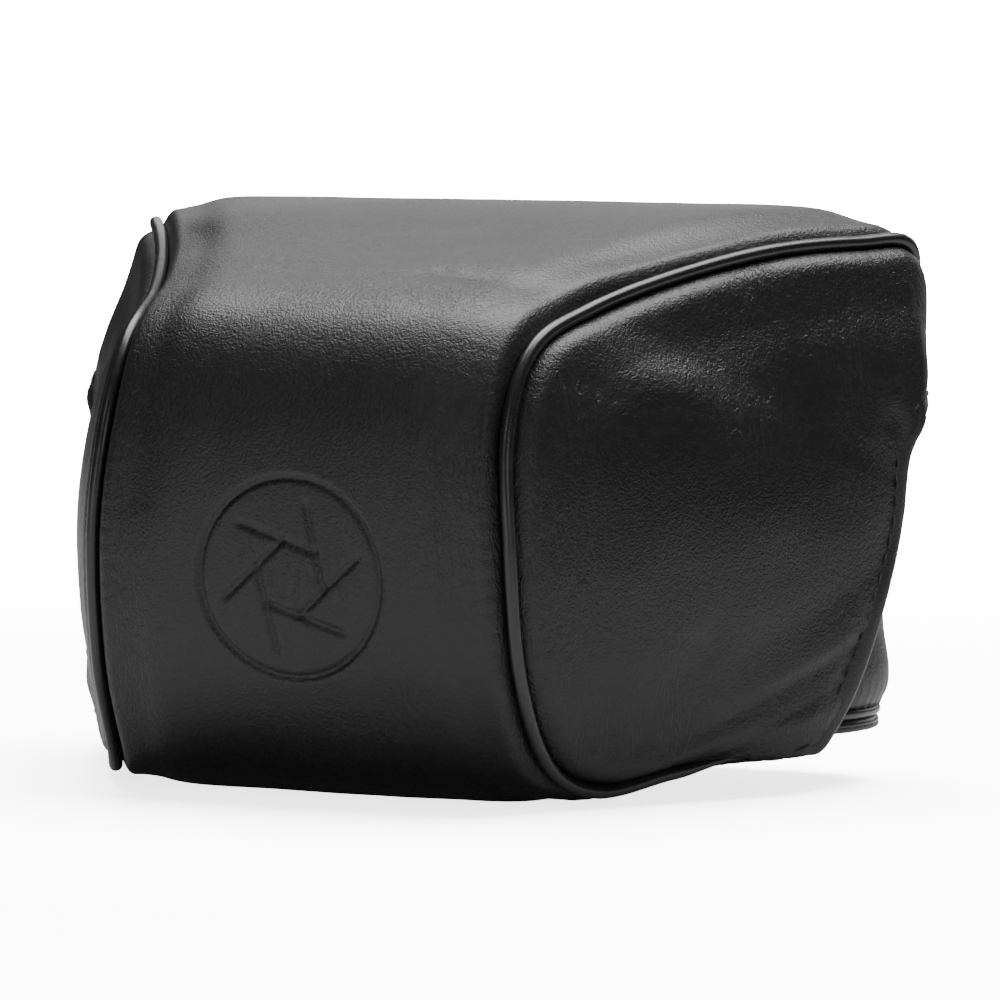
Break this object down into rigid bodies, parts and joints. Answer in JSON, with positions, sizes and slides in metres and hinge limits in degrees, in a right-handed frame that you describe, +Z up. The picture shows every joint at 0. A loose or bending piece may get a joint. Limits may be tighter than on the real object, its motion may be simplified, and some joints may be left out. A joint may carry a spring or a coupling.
{
  "type": "camera case",
  "caption": "Soft black leather ever-ready case with a lens nose: a half case with a captive tripod screw, and a cover that folds forward and is shut by a tongue at the back.",
  "frame": {"origin": "middle of the footprint on the surface that the case stands on", "axes": "-Y towards the nose, +Z up, X across"},
  "size_m": [0.1518, 0.0906, 0.0908],
  "materials": {
    "leather": "soft semi-matt black nappa, fine pebble grain",
    "piping": "smooth black leather over cord, satin",
    "hem": "turned black leather edge, stitched",
    "thread": "black waxed thread",
    "lining": "dark grey napped lining",
    "felt": "dense dark felt",
    "board": "brown leather board",
    "steel": "nickelled, turned",
    "brass": "turned brass",
    "black_metal": "black lacquered, satin",
    "knob": "knurled rim, satin"
  },
  "bodies": {
    "base": {"base_shell": "leather", "base_top_binding": "hem", "base_piping": "piping", "base_floor_leather": "leather", "base_floor_board": "board", "base_lining": "lining", "base_felt": "felt", "screw_bush": "brass", "hinge_tab_left": "leather", "hinge_tab_right": "leather", "hinge_snap_caps": "black_metal", "hinge_snap_studs": "steel", "tongue_root": "leather", "tongue_rivets": "black_metal"},
    "cover": {"cover_wrap": "leather", "cover_side_left": "leather", "cover_side_right": "leather", "cover_piping_left": "piping", "cover_piping_right": "piping", "cover_hem_left": "hem", "cover_hem_right": "hem", "flap_hem": "hem", "nose_stiffener": "board", "lining_wrap": "lining", "lining_side_left": "lining", "lining_side_right": "lining", "hinge_leaf": "leather", "flap_stud": "steel", "flap_stud_post": "steel"},
    "tongue": {"closing_tongue": "leather", "tongue_snap_cap": "black_metal", "tongue_snap_socket": "steel"},
    "screw_clip": {"screw_clip": "steel"},
    "tripod_screw": {"screw_knob": "knob", "screw_shank": "steel"}
  },
  "joints": [
    {"name": "cover_swing", "type": "hinge", "parent": "base", "child": "cover", "pos_m": [0, 0.0075, 0.0052], "axis": [1, 0, 0], "range_deg": [0, 100]},
    {"name": "tongue_fold", "type": "hinge", "parent": "base", "child": "tongue", "pos_m": [0, 0.0437, 0.0466], "axis": [-1, 0, 0], "range_deg": [0, 160]},
    {"name": "screw_travel", "type": "slide", "parent": "base", "child": "screw_clip", "axis": [0, 0, 1], "range_m": [-0.003, 0]},
    {"name": "screw_turn", "type": "hinge", "parent": "screw_clip", "child": "tripod_screw", "pos_m": [0, 0.0202, 0], "axis": [0, 0, 1], "continuous": true}
  ]
}
